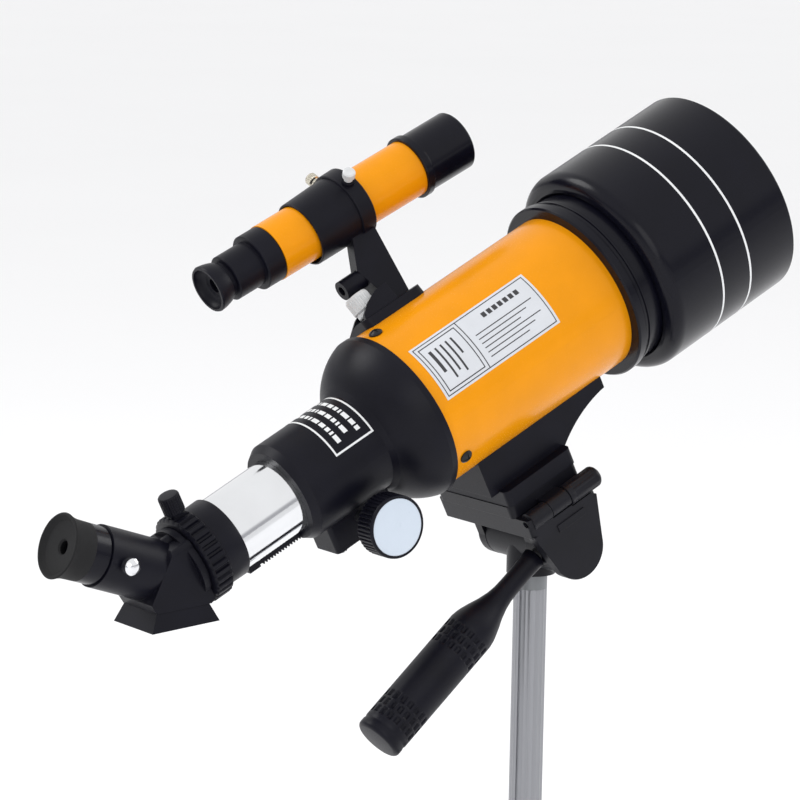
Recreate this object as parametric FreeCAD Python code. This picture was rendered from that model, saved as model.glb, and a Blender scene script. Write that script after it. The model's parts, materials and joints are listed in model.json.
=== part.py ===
import FreeCAD, Part
import math
import os

# Tabletop refracting telescope on a small aluminium tripod, millimetres, +Z up.
# +Y is the way the telescope looks, +X is its right-hand side.  The origin is on the
# floor, in the middle of the rectangle that the whole object covers.

V = FreeCAD.Vector
Placement = FreeCAD.Placement
Rotation = FreeCAD.Rotation
ORIGIN = V(0, 0, 0)
X = V(1, 0, 0)
Y = V(0, 1, 0)
Z = V(0, 0, 1)

# ---------------------------------------------------------------- driving dimensions

# where the telescope stands and points
tilt_axis_height = 353.0
tube_elevation = 26.5

# optical tube, stations along its axis counted from the rear end of the coloured tube
tube_radius = 38.0
tube_wall = 1.2
tube_length = 107.0
tube_rear_behind_tilt_axis = 40.8
tube_axis_above_tilt_axis = 89.0
fixing_screw_station = 6.0
fixing_screw_angles = (0.0, 120.0, 240.0)

# rear cell: a bell that closes the tube, and the neck that guides the drawtube
bell_radius = 39.5
bell_straight = 3.0
bell_rear = -21.0
neck_radius = 23.4
neck_rear = -67.5
guide_length = 16.0

# drawtube and its rack-and-pinion drive
drawtube_radius = 17.5
drawtube_bore = 16.3
drawtube_rear = -107.0
drawtube_front = -8.0
slide_clearance = 0.08
rack_width = 6.0
rack_rear = -96.5
gear_module = 0.5
pinion_teeth = 20
pinion_station = -40.5
rack_pitch_drop = 20.6
rack_pitch = math.pi * gear_module
pinion_pitch_radius = gear_module * pinion_teeth / 2
shaft_radius = 2.5
knob_radius = 13.85
knob_inner = 22.8
knob_outer = 37.5
housing_half_width = 9.0
housing_rear = -57.0
housing_front = -22.0
housing_bottom = -33.4
cover_thickness = 1.8

# collar on the drawtube's end
collar_rear = -120.5
collar_band_front = -111.4
collar_front = -100.5
collar_band_radius = 20.8
collar_radius = 18.8
barrel_radius = 12.25
collar_screw_angle = 1.0

# diagonal, its fold point is where the two optical axes meet
fold_station = -130.8
fold_angle = 45.0
diagonal_half_width = 13.5
holder_radius = 13.5
holder_mouth = 37.2
base_depth = 12.3
base_bottom = 19.8

# eyepiece, distances from the fold point along the eyepiece axis
barrel_inner_end = 17.0
eyecup_start = 45.0
eyecup_rim = 56.6
eyecup_radius = 14.2
set_screw_reach = 29.5

# objective, its cell and the dew shield
cell_flange_radius = 43.3
cell_radius = 41.8
cell_front = 131.0
lens_radius = 36.0
aperture_radius = 35.0
lens_rear = 122.0
shield_radius = 50.25
shield_wall = 2.2
shield_rear = 122.0
shield_front = 199.0

# finder scope, in a frame whose Y axis is the finder's own axis
finder_offset = 90.4
finder_angle = 35.0
finder_tube_radius = 13.4
finder_tube_rear = 0.0
finder_tube_front = 84.0
ring_rear = 18.4
ring_front = 49.0
ring_rim_start = 41.0
ring_bore = 14.4
rim_radius = 16.9
aim_pivot_station = 34.0
aim_droop = 2.0
aim_screw_station = 45.0
aim_screw_angles = (-25.0, 73.0)
foot_rear = 10.0
foot_front = 43.5
nut_station = 20.5

# tripod head, in a frame on the tilt axis that tilts with the tube
drum_radius = 11.4
drum_left = -19.3
drum_right = 11.7
spigot_radius = 8.0
spigot_right = 29.0
hub_radius = 12.6
ear_radius = 11.5
ear_left = -24.6
cheek_inner = 29.0
cheek_outer = 34.5
cheek_radius = 13.8
head_base_radius = 11.0
head_base_drop = 16.6
bracket_plate_left = -33.0
bracket_plate_bottom = 16.5
bracket_plate_top = 26.0
platform_bottom = 26.2
platform_top = 32.3
platform_rear = -20.0
platform_front = 20.0
platform_left = -30.0
platform_right = 26.0
hinge_x = 31.5
hinge_z = 24.0
knuckle_radius = 4.4
hinge_pin_radius = 1.6
hinge_rear = -17.0
knuckle_split = -6.0
lock_knob_rear = 5.3
lock_knob_front = 25.0
lock_knob_radius = 5.0
bolt_radius = 3.0

# pan handle, in a frame whose Y axis runs down the handle
handle_x = 20.0
handle_rise = 5.2
handle_droop = 14.3
rod_radius = 3.0
rod_tip = 8.8
neck_start = 13.2
grip_start = 54.0
grip_end = 125.0
grip_radius = 11.0

# tube bracket
bracket_foot_top = 40.2
bracket_foot_half_width = 27.0
saddle_half_width = 21.0
saddle_rear = 17.0
saddle_block_front = 62.0
saddle_front = 92.0
bracket_screw_stations = (28.0, 50.0)
mount_screw_radius = 3.175

# tripod
column_radius = 7.6
column_bore = 5.6
column_collar_height = 7.0
column_length = 190.0
column_clearance = 0.1
key_groove_azimuth = 205.0
lock_knob_azimuth = 60.0
lug_inner = 6.4
lug_thickness = 4.0
crown_bottom = 175.0
crown_top = 215.0
crown_radius = 17.0
leg_pivot_radius = 24.0
leg_pivot_height = 190.0
foot_circle_radius = 155.0
leg_azimuths = (0.0, 120.0, 240.0)
leg_width = 15.0
leg_depth = 11.0
leg_wall = 1.2
foot_start = 214.0

# ---------------------------------------------------------------- reference frames

tilt_frame = Placement(V(0, 0, tilt_axis_height), Rotation(X, tube_elevation))
optic_frame = tilt_frame.multiply(
    Placement(V(0, -tube_rear_behind_tilt_axis, tube_axis_above_tilt_axis), Rotation()))
finder_frame = optic_frame.multiply(Placement(ORIGIN, Rotation(Y, -finder_angle))).multiply(
    Placement(V(0, 0, finder_offset), Rotation()))
around_finder = Placement(ORIGIN, Rotation(Y, -finder_angle))
dip = Placement(ORIGIN, Rotation(Y, finder_angle)).multiply(Placement(ORIGIN, Rotation(X, -aim_droop)))
aim_frame = finder_frame.multiply(Placement(V(0, aim_pivot_station, 0), Rotation())).multiply(dip).multiply(
    around_finder).multiply(Placement(V(0, -aim_pivot_station, 0), Rotation()))
diagonal_frame = optic_frame.multiply(Placement(V(0, fold_station, 0), Rotation()))
eyepiece_frame = diagonal_frame.multiply(Placement(ORIGIN, Rotation(X, 180.0 - fold_angle)))
droop = math.radians(handle_droop)
handle_frame = tilt_frame.multiply(Placement(
    V(handle_x, -handle_rise * math.sin(droop), handle_rise * math.cos(droop)),
    Rotation(X, 180.0 + handle_droop)))
column_frame = Placement(V(0, 0, tilt_axis_height - head_base_drop), Rotation())

leg_reach = foot_circle_radius - leg_pivot_radius
leg_length = math.hypot(leg_reach, leg_pivot_height)
leg_spread = math.degrees(math.atan2(leg_reach, leg_pivot_height))


def leg_frame(azimuth):
    """Frame on a leg's pivot: local Y points outwards, the leg runs down local -Z."""
    turn = Rotation(Z, azimuth)
    pivot = turn.multVec(V(0, leg_pivot_radius, leg_pivot_height))
    return Placement(pivot, turn.multiply(Rotation(X, leg_spread)))


# ---------------------------------------------------------------- shape helpers

def lathe(points):
    """Solid of revolution about Y.  A pair is (radius, station); four numbers are an arc."""
    edges = []
    previous = V(points[0][0], points[0][1], 0)
    for entry in list(points[1:]) + [points[0]]:
        end = V(entry[-2], entry[-1], 0)
        if len(entry) == 4:
            edges.append(Part.Arc(previous, V(entry[0], entry[1], 0), end).toShape())
        elif (end - previous).Length > 1e-6:
            edges.append(Part.makeLine(previous, end))
        previous = end
    return Part.Face(Part.Wire(edges)).revolve(ORIGIN, Y, 360)


def dome(radius, edge, apex):
    """Middle point of the arc from (radius, edge) to the axis at apex, square to the axis."""
    rise = apex - edge
    sphere = (radius ** 2 + rise ** 2) / (2 * abs(rise))
    half = math.asin(min(1.0, radius / sphere)) / 2
    sign = 1 if rise > 0 else -1
    return (sphere * math.sin(half), apex - sign * sphere * (1 - math.cos(half)))


def rod(radius, start, end):
    """Round bar between two points."""
    return Part.makeCylinder(radius, (end - start).Length, start, end - start)


def block(x0, x1, y0, y1, z0, z1):
    """Box between two opposite corners."""
    return Part.makeBox(x1 - x0, y1 - y0, z1 - z0, V(x0, y0, z0))


def edges_along(shape, direction):
    """Straight edges of a shape that run in one direction."""
    found = []
    for edge in shape.Edges:
        run = edge.Vertexes[-1].Point - edge.Vertexes[0].Point
        if run.Length > 1e-6 and abs(abs(run.normalize().dot(direction)) - 1) < 1e-6:
            found.append(edge)
    return found


def soft_block(x0, x1, y0, y1, z0, z1, radius, direction):
    """Box whose edges along one direction are rounded."""
    box = block(x0, x1, y0, y1, z0, z1)
    return box.makeFillet(radius, edges_along(box, direction))


def plate_yz(outline, x0, x1):
    """Plate cut to a (y, z) outline, from x0 to x1."""
    corners = [V(x0, y, z) for y, z in outline]
    return Part.Face(Part.makePolygon(corners + corners[:1])).extrude(V(x1 - x0, 0, 0))


def plate_xz(outline, y0, y1):
    """Plate cut to an (x, z) outline, from y0 to y1."""
    corners = [V(x, y0, z) for x, z in outline]
    return Part.Face(Part.makePolygon(corners + corners[:1])).extrude(V(0, y1 - y0, 0))


def around_y(shape, angle):
    """Copy of a shape turned about the Y axis."""
    turned = shape.copy()
    turned.rotate(ORIGIN, Y, angle)
    return turned


def polar(radius, angle, station):
    """Point at an angle (degrees, from +Z towards +X) round the Y axis."""
    return V(radius * math.sin(math.radians(angle)), station, radius * math.cos(math.radians(angle)))


nodes = {}


def add(name, frame, shape):
    """Keep a finished piece, moved from its own frame to the stand's frame."""
    piece = shape.copy()
    piece.Placement = frame.multiply(piece.Placement)
    nodes[name] = piece


# ---------------------------------------------------------------- optical tube

def make_main_tube():
    tube = lathe([(tube_radius - tube_wall, 0), (tube_radius, 0), (tube_radius, tube_length),
                  (tube_radius - tube_wall, tube_length)])
    holes = [rod(1.65, polar(30, angle, fixing_screw_station), polar(40, angle, fixing_screw_station))
             for angle in fixing_screw_angles]
    holes += [rod(1.65, V(0, station, -30), V(0, station, -40)) for station in bracket_screw_stations]
    holes.append(rod(2.2, polar(30, -finder_angle, nut_station), polar(40, -finder_angle, nut_station)))
    add("main_tube", optic_frame, tube.cut(holes))


def make_rear_cell():
    bore = drawtube_radius + slide_clearance
    relief = bore + 1.4
    spigot = tube_radius - tube_wall
    guide_front = neck_rear + guide_length
    body = lathe([
        (bore, neck_rear), (neck_radius - 2.2, neck_rear), (neck_radius, neck_rear + 3.5),
        (neck_radius, bell_rear - 2.2), (25.7, bell_rear), (34.8, -12.6, bell_radius, -bell_straight),
        (bell_radius, 0), (spigot, 0), (spigot, 12), (spigot - 2.2, 12), (spigot - 2.2, -1.5),
        (30.6, -10.4, relief + 3, bell_rear + 3.5), (relief, bell_rear + 3.5), (relief, guide_front),
        (bore, guide_front)])
    housing = block(-housing_half_width, housing_half_width, housing_rear, housing_front,
                    housing_bottom, -15)
    housing = housing.makeFillet(2.0, edges_along(housing, Z))
    housing = housing.cut(rod(relief, V(0, -70, 0), V(0, 0, 0)))
    body = body.fuse(housing)
    shaft_drop = rack_pitch_drop + pinion_pitch_radius
    cutters = [
        block(-3.4, 3.4, neck_rear - 1, 14, -rack_pitch_drop - 1.4, -10),
        block(-3.7, 3.7, pinion_station - 7.2, pinion_station + 7.2, housing_bottom - 1, -18),
        rod(shaft_radius + 0.06, V(-12, pinion_station, -shaft_drop), V(12, pinion_station, -shaft_drop))]
    for angle in fixing_screw_angles:
        cutters.append(rod(1.55, polar(30, angle, fixing_screw_station),
                           polar(40, angle, fixing_screw_station)))
    for x in (-6.2, 6.2):
        for station in (housing_rear + 4, housing_front - 4):
            cutters.append(rod(0.95, V(x, station, housing_bottom - 1), V(x, station, housing_bottom + 5)))
    body = body.removeSplitter().cut(cutters)
    add("rear_cell", optic_frame, body)


def make_tube_screws():
    """Five equal screws: three hold the rear cell, two come through the tube into its bracket."""
    head = lathe([(0, 0), (3.1, 0), (3.1, 0.5), dome(3.1, 0.5, 1.9) + (0, 1.9)])
    cross = [block(-0.35, 0.35, 1.2, 2.5, -2.2, 2.2), block(-2.2, 2.2, 1.2, 2.5, -0.35, 0.35)]
    pattern = head.cut(cross).fuse(rod(1.5, V(0, -8, 0), V(0, 0, 0)))
    pattern.rotate(ORIGIN, X, 90)
    screws = []
    for angle in fixing_screw_angles:
        screw = pattern.copy()
        screw.translate(V(0, fixing_screw_station, tube_radius + 0.1))
        screws.append(around_y(screw, angle))
    for station in bracket_screw_stations:
        screw = pattern.copy()
        screw.translate(V(0, station, -tube_radius + tube_wall + 0.25))
        screws.append(screw)
    add("tube_screws", optic_frame, Part.makeCompound(screws))


def make_pinion_cover():
    cover = block(-housing_half_width, housing_half_width, housing_rear, housing_front,
                  housing_bottom - cover_thickness, housing_bottom)
    cover = cover.makeFillet(2.0, edges_along(cover, Z))
    screws = []
    for x in (-6.2, 6.2):
        for station in (housing_rear + 4, housing_front - 4):
            under = housing_bottom - cover_thickness
            cover = cover.cut(rod(1.05, V(x, station, under - 1), V(x, station, housing_bottom + 1)))
            head = Part.makeCone(1.2, 1.9, 0.9, V(x, station, under - 0.1), V(0, 0, -1))
            slot = block(x - 2, x + 2, station - 0.25, station + 0.25, under - 1.2, under - 0.6)
            shank = rod(0.9, V(x, station, under - 0.1), V(x, station, housing_bottom + 4.5))
            screws.append(shank.fuse(head).cut(slot))
    add("pinion_cover", optic_frame, cover)
    add("pinion_cover_screws", optic_frame, Part.makeCompound(screws))


# ---------------------------------------------------------------- drawtube and focuser


def make_drawtube():
    tube = lathe([(drawtube_bore, drawtube_rear), (drawtube_radius, drawtube_rear),
                  (drawtube_radius, drawtube_front), (drawtube_bore, drawtube_front)])
    add("drawtube", optic_frame, tube)


def make_rack():
    """Straight rack under the drawtube, with a gap between teeth straight above the pinion."""
    addendum = 0.8 * gear_module
    dedendum = 1.2 * gear_module
    crest = 0.13 * rack_pitch
    root = 0.31 * rack_pitch
    front = drawtube_front - 2
    tip = -rack_pitch_drop - addendum
    foot = -rack_pitch_drop + dedendum
    outline = [(rack_rear, -16.5), (rack_rear, tip), (rack_rear + 6, tip), (rack_rear + 6, foot)]
    first = math.ceil((rack_rear + 8 - pinion_station) / rack_pitch - 0.5)
    last = math.floor((front - 2 - pinion_station) / rack_pitch - 0.5)
    for index in range(first, last + 1):
        middle = pinion_station + (index + 0.5) * rack_pitch
        outline += [(middle - root, foot), (middle - crest, tip), (middle + crest, tip),
                    (middle + root, foot)]
    outline += [(front, foot), (front, -16.5)]
    rack = plate_yz(outline, -rack_width / 2, rack_width / 2)
    rack = rack.cut(rod(drawtube_radius, V(0, rack_rear - 1, 0), V(0, front + 1, 0)))
    add("focus_rack", optic_frame, rack)


def make_pinion_shaft():
    """Pinion and knob shaft in one; a tooth points straight up at the rack."""
    outer = pinion_pitch_radius + 0.75 * gear_module
    inner = pinion_pitch_radius - 1.2 * gear_module
    step = 2 * math.pi / pinion_teeth
    outline = []
    for index in range(pinion_teeth):
        middle = math.pi / 2 + index * step
        for radius, share in ((inner, -0.30), (pinion_pitch_radius, -0.20), (outer, -0.10),
                              (outer, 0.10), (pinion_pitch_radius, 0.20), (inner, 0.30)):
            angle = middle + share * step
            outline.append((radius * math.cos(angle), radius * math.sin(angle)))
    drop = rack_pitch_drop + pinion_pitch_radius
    gear = plate_yz([(pinion_station + y, z - drop) for y, z in outline], -3.0, 3.0)
    shaft = rod(shaft_radius, V(-knob_outer + 3, pinion_station, -drop),
                V(knob_outer - 3, pinion_station, -drop))
    add("pinion_shaft", optic_frame, gear.fuse(shaft))


def focus_knob(side):
    """Knob with a recessed face; side is +1 on the right and -1 on the left."""
    length = knob_outer - knob_inner
    knob = lathe([(0, 0), (8.5, 0), (9.5, 1), (9.5, 2.5), (12.6, 3.2), (knob_radius - 0.4, 4),
                  (knob_radius, 4.6), (knob_radius, length - 1), (knob_radius - 0.6, length),
                  (knob_radius - 1.3, length), (knob_radius - 1.3, length - 0.9), (0, length - 0.9)])
    knob = knob.cut(rod(shaft_radius, V(0, -1, 0), V(0, length - 3, 0)))
    knob.rotate(ORIGIN, Z, -90 * side)
    drop = rack_pitch_drop + pinion_pitch_radius
    knob.translate(V(side * knob_inner, pinion_station, -drop))
    return knob


def make_knobs():
    add("focus_knob_right", optic_frame, focus_knob(1))
    add("focus_knob_left", optic_frame, focus_knob(-1))
    drop = rack_pitch_drop + pinion_pitch_radius
    caps = []
    for side in (1, -1):
        cap = lathe([(0, -0.9), (knob_radius - 1.4, -0.9), (knob_radius - 1.4, -0.3),
                     dome(knob_radius - 1.4, -0.3, 0.3) + (0, 0.3)])
        cap.rotate(ORIGIN, Z, -90 * side)
        cap.translate(V(side * knob_outer, pinion_station, -drop))
        caps.append(cap)
    add("focus_knob_caps", optic_frame, Part.makeCompound(caps))


def make_collar():
    bore = barrel_radius + 0.07
    ring = lathe([(bore, collar_rear), (collar_band_radius - 0.8, collar_rear),
                  (collar_band_radius, collar_rear + 0.8), (collar_band_radius, collar_band_front - 0.5),
                  (collar_band_radius - 0.5, collar_band_front), (collar_radius, collar_band_front),
                  (collar_radius, collar_front + 0.5), (collar_radius - 0.5, collar_front),
                  (drawtube_radius, collar_front), (drawtube_radius, drawtube_rear), (bore, drawtube_rear)])
    middle = (collar_rear + collar_band_front) / 2
    hole = rod(1.6, V(0, middle, 0), polar(30, collar_screw_angle, middle))
    flat = rod(4.4, polar(collar_band_radius - 0.5, collar_screw_angle, middle),
               polar(30, collar_screw_angle, middle))
    add("drawtube_collar", optic_frame, ring.cut([hole, flat]))


def thumbscrew(head_radius, head_length, shank_radius, shank_length):
    """Thumbscrew along Y: head above zero, shank below it."""
    head = lathe([(0, 0), (head_radius * 0.7, 0), (head_radius * 0.7, 1.4), (head_radius, 1.8),
                  (head_radius, head_length - 0.6), (head_radius - 0.6, head_length), (0, head_length)])
    return head.fuse(rod(shank_radius, V(0, -shank_length, 0), V(0, 0, 0)))


def make_collar_screw():
    screw = thumbscrew(4.8, 10.5, 1.5, 8.0)
    screw.rotate(ORIGIN, X, 90)
    screw.translate(V(0, (collar_rear + collar_band_front) / 2, collar_band_radius - 0.3))
    add("collar_screw", optic_frame, around_y(screw, collar_screw_angle))


# ---------------------------------------------------------------- diagonal and eyepiece

def mirror_point(along, down):
    """(y, z) of a point in the diagonal: along the mirror plane, and down behind it."""
    half = math.radians(fold_angle / 2)
    return (along * math.cos(half) - down * math.sin(half), -along * math.sin(half) - down * math.cos(half))


def make_diagonal():
    front = collar_rear - 0.3 - fold_station
    nose_front = drawtube_rear - 0.4 - fold_station
    body = plate_yz([(front, 13.5), (front, -15.4), mirror_point(13, base_depth),
                     mirror_point(-14, base_depth), (-18.3, -1.5), (1.0, 13.5)],
                    -diagonal_half_width, diagonal_half_width)
    body = body.makeFillet(2.5, [edge for edge in edges_along(body, Y) if edge.BoundBox.ZMin > 10])
    outlet = V(0, -math.sin(math.radians(fold_angle)), math.cos(math.radians(fold_angle)))
    holder = rod(holder_radius, outlet * 3, outlet * holder_mouth)
    nose = rod(barrel_radius, V(0, front - 2, 0), V(0, nose_front, 0))
    shoulder = rod(17.0, V(0, front - 3.2, 0), V(0, front, 0))
    ridge = rod(2.6, V(1.5, -1.5, 13.2), V(1.5, front, 13.6))
    body = body.fuse([holder, nose, shoulder, ridge])
    cavity = plate_yz([(5.5, 9.0), (5.5, -16.4), (-15.8, -7.6), (-15.8, -5.2), (-0.4, 9.0)], -10.0, 10.0)
    light_in = rod(9.6, V(0, 0, 0), V(0, nose_front + 1, 0))
    light_out = rod(10.2, outlet * 2, outlet * 18)
    barrel_bore = rod(barrel_radius + 0.07, outlet * (barrel_inner_end - 0.5), outlet * (holder_mouth + 1))
    screw_at = outlet * set_screw_reach
    screw_hole = rod(1.6, screw_at, screw_at + V(20, 0, 0))
    body = body.cut([cavity, light_in, light_out, barrel_bore, screw_hole])
    add("diagonal_body", diagonal_frame, body)

    prism = plate_yz([(5.1, 8.5), (5.1, -14.6), (-15.2, -6.2), (-0.4, 8.5)], -9.6, 9.6)
    add("diagonal_prism", diagonal_frame, prism)


def make_diagonal_base():
    """Flared cover that closes the diagonal behind the prism."""
    def ring(along0, along1, half_width, down):
        corners = []
        for x, along in ((-half_width, along0), (half_width, along0), (half_width, along1),
                         (-half_width, along1)):
            y, z = mirror_point(along, down)
            corners.append(V(x, y, z))
        return Part.makePolygon(corners + corners[:1])
    skirt = Part.makeLoft([ring(-14, 12, 13.2, base_depth), ring(-18.0, 15.2, 15.6, base_bottom)], True,
                          True)
    add("diagonal_base", diagonal_frame, skirt)


def make_diagonal_set_screw():
    screw = lathe([(0, 0), (2.2, 0), (2.2, 1.0), (3.7, 1.2), (3.7, 4.2), dome(3.7, 4.2, 5.8) + (0, 5.8)])
    screw = screw.fuse(rod(1.5, V(0, -1.0, 0), V(0, 0, 0)))
    screw.rotate(ORIGIN, Z, -90)
    outlet = V(0, -math.sin(math.radians(fold_angle)), math.cos(math.radians(fold_angle)))
    screw.translate(outlet * set_screw_reach + V(holder_radius + 0.4, 0, 0))
    add("diagonal_set_screw", diagonal_frame, screw)


def make_eyepiece():
    seat = holder_mouth + 0.3
    body = lathe([(10.6, barrel_inner_end), (barrel_radius, barrel_inner_end), (barrel_radius, seat),
                  (12.6, seat), (12.6, eyecup_start), (10.4, eyecup_start), (10.4, 49.0), (4.0, 49.0),
                  (4.0, 48.2), (5.2, 48.2), (5.2, 44.0), (10.6, 40.0)])
    add("eyepiece_body", eyepiece_frame, body)
    eye_lens = lathe([(0, 44.9), (5.1, 44.9), (5.1, 47.6), dome(5.1, 47.6, 48.8) + (0, 48.8)])
    field_lens = lathe([(0, 18.6), dome(10.5, 20.2, 18.6) + (10.5, 20.2), (10.5, 22.4), (0, 22.4)])
    add("eyepiece_lenses", eyepiece_frame, Part.makeCompound([eye_lens, field_lens]))
    cup = lathe([(10.4, eyecup_start), (12.6, eyecup_start), (12.7, 49.5),
                 (13.1, 53.0, eyecup_radius, eyecup_rim - 0.5),
                 (eyecup_radius - 0.4, eyecup_rim), (13.2, eyecup_rim), (12.2, 55.4), (11.2, 54.4),
                 (3.6, 53.6),
                 (2.9, 52.8), (4.4, 49.4), (10.4, 49.4)])
    add("eyecup", eyepiece_frame, cup)


# ---------------------------------------------------------------- objective and dew shield

def make_lens_cell():
    spigot = tube_radius - tube_wall
    cell = lathe([
        (34.4, 96), (spigot, 96), (spigot, tube_length + 0.05),
        (cell_flange_radius - 0.8, tube_length + 0.05), (cell_flange_radius, tube_length + 0.85),
        (cell_flange_radius, 111.4), (cell_flange_radius - 0.6, 112), (cell_radius, 112),
        (cell_radius, 114), (cell_radius + 0.6, 114.3), (cell_radius + 0.6, 115.3), (cell_radius, 115.6),
        (cell_radius, cell_front), (lens_radius + 0.1, cell_front), (lens_radius + 0.1, lens_rear),
        (34.4, lens_rear)])
    add("lens_cell", optic_frame, cell)


def make_objective():
    back = lens_rear
    crown_rear = back + 4.7
    crown_front = back + 10.4
    crown_lens = lathe([
        (0, crown_rear), dome(lens_radius, back + 6.4, crown_rear) + (lens_radius, back + 6.4),
        (lens_radius, back + 7.0), dome(lens_radius, back + 7.0, crown_front) + (0, crown_front)])
    flint_rear = back + 1.2
    flint_front = back + 4.2
    flint_lens = lathe([
        (0, flint_rear), dome(lens_radius, back + 0.4, flint_rear) + (lens_radius, back + 0.4),
        (lens_radius, back + 5.9), dome(lens_radius, back + 5.9, flint_front) + (0, flint_front)])
    add("objective_doublet", optic_frame, Part.makeCompound([crown_lens, flint_lens]))
    ring = lathe([(aperture_radius, cell_front - 0.8), (lens_radius + 0.05, cell_front - 1.6),
                  (lens_radius + 0.05, cell_front), (39.5, cell_front), (39.5, cell_front + 1.6),
                  (aperture_radius, cell_front + 2.4)])
    add("lens_retaining_ring", optic_frame, ring)


def make_dew_shield():
    inner = shield_radius - shield_wall
    seat = cell_radius + 0.08
    shield = lathe([
        (seat + 1.0, shield_rear), (44.6, shield_rear),
        (48.6, shield_rear + 2.2, shield_radius, shield_rear + 7),
        (shield_radius, shield_front - 0.8), (shield_radius - 0.8, shield_front),
        (inner + 0.4, shield_front),
        (inner, shield_front - 0.6), (inner, shield_rear + 11), (seat, shield_rear + 8),
        (seat, shield_rear + 0.8)])
    add("dew_shield", optic_frame, shield)


# ---------------------------------------------------------------- finder scope

def make_finder_optics():
    wall = 1.0
    tube = lathe([(finder_tube_radius - wall, finder_tube_rear), (finder_tube_radius, finder_tube_rear),
                  (finder_tube_radius, finder_tube_front), (finder_tube_radius - wall, finder_tube_front)])
    add("finder_tube", aim_frame, tube)
    insert = finder_tube_radius - wall - 0.06
    skirt = finder_tube_radius + 0.05
    front = finder_tube_front
    hood = lathe([
        (10.2, front - 6), (insert, front - 6), (insert, front + 0.1), (skirt, front + 0.1),
        (skirt, front - 2),
        (14.6, front - 2), (15.0, front - 1.6), (15.0, front + 1.5), (14.0, front + 2.3), (14.0, 110.0),
        (13.5, 110.6), (13.1, 110.6), (12.7, 110.1), (12.7, 99.4), (10.2, 99.0)])
    add("finder_objective_cell", aim_frame, hood)
    eyepiece = lathe([
        (7.0, 16.0), (insert, 16.0), (insert, finder_tube_rear - 0.1), (12.9, finder_tube_rear - 0.1),
        (13.1, finder_tube_rear - 0.4), (13.1, -9.3), (12.6, -9.8), (10.6, -10.0), (10.6, -23.8),
        (10.1, -24.3),
        (8.2, -24.6), (8.2, -26.4), (9.4, -26.9), (10.2, -29.2, 11.0, -33.8), (10.6, -34.6), (9.6, -34.6),
        (8.4, -32.0, 5.6, -30.6), (3.4, -30.6), (3.4, -28.0), (7.0, -26.0)])
    add("finder_eyepiece", aim_frame, eyepiece)
    objective = lathe([(0, 99.5), (12.6, 99.5), (12.6, 101.4), dome(12.6, 101.4, 103.2) + (0, 103.2)])
    add("finder_objective", aim_frame, objective)
    eye_lens = lathe([(0, -25.6), (6.9, -25.6), (6.9, -23.4), dome(6.9, -23.4, -21.9) + (0, -21.9)])
    add("finder_eye_lens", aim_frame, eye_lens)
    seal = Part.makeTorus((finder_tube_radius + ring_bore) / 2, 0.44, V(0, aim_pivot_station, 0), Y)
    add("finder_o_ring", aim_frame, seal)


def make_finder_bracket():
    base = -finder_offset
    sleeve = lathe([
        (ring_bore, ring_rear), (15.0, ring_rear), (15.3, ring_rear + 0.4), (15.9, ring_rim_start),
        (rim_radius - 0.4, ring_rim_start), (rim_radius, ring_rim_start + 0.4),
        (rim_radius, ring_front - 0.5),
        (rim_radius - 0.5, ring_front), (ring_bore, ring_front)])
    stem = plate_yz([(37.0, -12.0), (48.4, -12.0), (41.0, base + 41.0), (28.0, base + 41.0),
                     (29.5, base + 50.0), (27.0, base + 62.0)], -4.5, 4.5)
    stem = stem.cut(rod(ring_bore + 0.3, V(0, 10, 0), V(0, 70, 0)))
    foot = rod(tube_radius + 4.2, V(0, foot_rear, base), V(0, foot_front, base))
    foot = foot.common(block(-13, 13, foot_rear, foot_front, base + 20, base + 50))
    foot = foot.makeFillet(4.0, [edge for edge in edges_along(foot, Z)])
    ribs = [plate_yz([(foot_rear + 1, base + 38.5), (28.0, base + 38.5), (28.0, base + 49.5),
                      (24.0, base + 49.0), (18.0, base + 46.5), (13.0, base + 43.0)], x, x + 2.4)
            for x in (-11.2, 8.8)]
    bridge = block(-11.2, 11.2, 27.0, 31.0, base + 40, base + 49.5)
    boss_height = base + 59.0
    boss = rod(4.5, V(0, 17.0, boss_height), V(0, 33.0, boss_height))
    screw_bosses = [rod(3.2, polar(14.5, angle, aim_screw_station), polar(18.4, angle, aim_screw_station))
                    for angle in aim_screw_angles]
    body = sleeve.fuse([stem, foot, bridge, boss] + ribs + screw_bosses)
    cutters = [
        rod(tube_radius, V(0, 0, base), V(0, 60, base)),
        rod(2.2, V(0, 16, boss_height), V(0, 28, boss_height)),
        rod(ring_bore, V(0, 10, 0), V(0, 70, 0)),
        rod(2.15, V(0, nut_station, base + 30), V(0, nut_station, base + 46))]
    cutters += [rod(1.6, V(0, aim_screw_station, 0), polar(22, angle, aim_screw_station))
                for angle in aim_screw_angles]
    add("finder_bracket", finder_frame, body.cut(cutters))


def make_finder_screws():
    """Two aiming thumbscrews, one nickel and one pale, and the foot's stud and thumb nut."""
    for name, angle in (("finder_aim_screw_left", aim_screw_angles[0]),
                        ("finder_aim_screw_right", aim_screw_angles[1])):
        screw = thumbscrew(2.9, 5.5, 1.5, 4.6)
        screw.rotate(ORIGIN, X, 90)
        screw.translate(V(0, aim_screw_station, 18.7))
        add(name, finder_frame, around_y(screw, angle))
    base = -finder_offset
    stud = lathe([(0, 0), (4.2, 0), (4.2, 1.2), (2.05, 1.2), (2.05, 15.5), (0, 15.5)])
    stud.rotate(ORIGIN, X, 90)
    stud.translate(V(0, nut_station, base + tube_radius - tube_wall - 1.6))
    nut = lathe([(2.15, 0), (4.6, 0), (5.0, 0.6), (5.0, 2.4), (5.8, 3.0), (5.8, 10.0), (5.2, 10.6),
                 (0, 10.6),
                 (0, 9.4), (2.15, 9.4)])
    nut.rotate(ORIGIN, X, 90)
    nut.translate(V(0, nut_station, base + tube_radius + 5.4))
    add("finder_stud", finder_frame, stud)
    add("finder_thumb_nut", finder_frame, nut)


# ---------------------------------------------------------------- bracket and platform

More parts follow.
